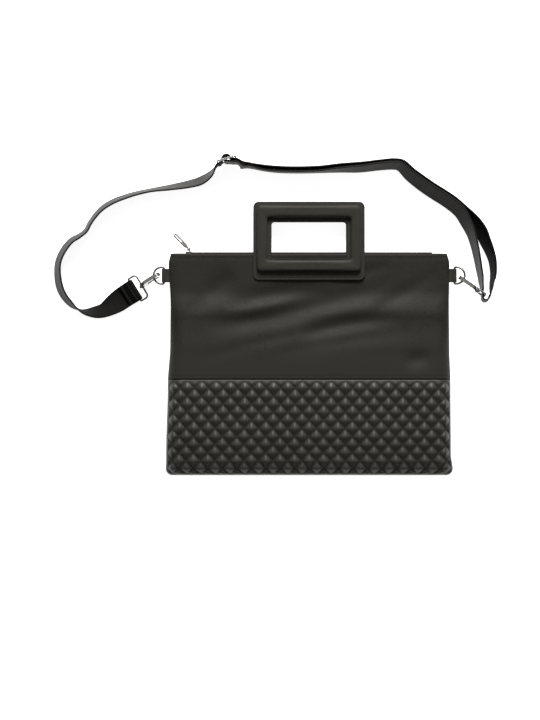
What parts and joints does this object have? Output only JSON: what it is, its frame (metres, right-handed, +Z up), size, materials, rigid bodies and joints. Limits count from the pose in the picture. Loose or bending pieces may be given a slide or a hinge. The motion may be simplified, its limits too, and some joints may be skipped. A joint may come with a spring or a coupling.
{
  "type": "tallit bag",
  "caption": "Flat zipped soft leather pouch lying on its back, quilted lower front, padded cut-out handles and a clip-on adjustable shoulder strap.",
  "frame": {"origin": "middle of the flat underside of the back panel, on the surface that the bag lies on", "axes": "+X across the bag to its right side seam, +Y up the front towards the zip, +Z up out of the front"},
  "size_m": [0.5528, 0.3993, 0.0351],
  "materials": {
    "leather": "soft semi-matt grained",
    "strap_leather": "satin",
    "zip_tape": "woven matt",
    "nickel": "bright nickel plate",
    "gunmetal": "dark plated wire"
  },
  "bodies": {
    "root": {"front_upper_panel": "leather", "front_quilt_panel": "leather", "back_panel": "leather", "zip_tape_front": "zip_tape", "zip_tape_back": "zip_tape", "zip_chain": "zip_tape", "zip_slider": "nickel", "front_handle_backing": "leather", "front_handle_pad": "leather", "back_handle_backing": "leather", "back_handle_pad": "leather", "left_tab": "leather", "right_tab": "leather", "left_d_ring": "gunmetal", "right_d_ring": "gunmetal", "left_strap_ring": "gunmetal", "right_strap_ring": "gunmetal", "strap_slide": "nickel", "strap_loop": "strap_leather", "strap_outer": "strap_leather", "strap_inner": "strap_leather"},
    "pull": {"zip_pull": "nickel"},
    "left_hook_body": {"left_hook": "nickel"},
    "left_gate_body": {"left_gate": "nickel"},
    "right_hook_body": {"right_hook": "nickel"},
    "right_gate_body": {"right_gate": "nickel"}
  },
  "joints": [
    {"name": "zip_pull_swing", "type": "hinge", "parent": "root", "child": "pull", "pos_m": [-0.1515, 0.1432, 0.0123], "axis": [0, 0, 1], "range_deg": [-125, 38]},
    {"name": "left_hook_swivel", "type": "hinge", "parent": "root", "child": "left_hook_body", "pos_m": [-0.21052, 0.09796, 0.00642], "axis": [0.8284, 0.5076, 0.2367], "range_deg": [-10, 10]},
    {"name": "left_gate_hinge", "type": "hinge", "parent": "left_hook_body", "child": "left_gate_body", "pos_m": [-0.20426, 0.10077, 0.00301], "axis": [0.4795, -0.8612, 0.1687], "range_deg": [0, 16], "stiffness_Nm_per_rad": 0.02},
    {"name": "right_hook_swivel", "type": "hinge", "parent": "root", "child": "right_hook_body", "pos_m": [0.20829, 0.09188, 0.01697], "axis": [-0.8084, 0.5788, -0.1072], "range_deg": [-10, 10]},
    {"name": "right_gate_hinge", "type": "hinge", "parent": "right_hook_body", "child": "right_gate_body", "pos_m": [0.20403, 0.09492, 0.01137], "axis": [0.5821, 0.8131, 0], "range_deg": [0, 16], "stiffness_Nm_per_rad": 0.02}
  ]
}
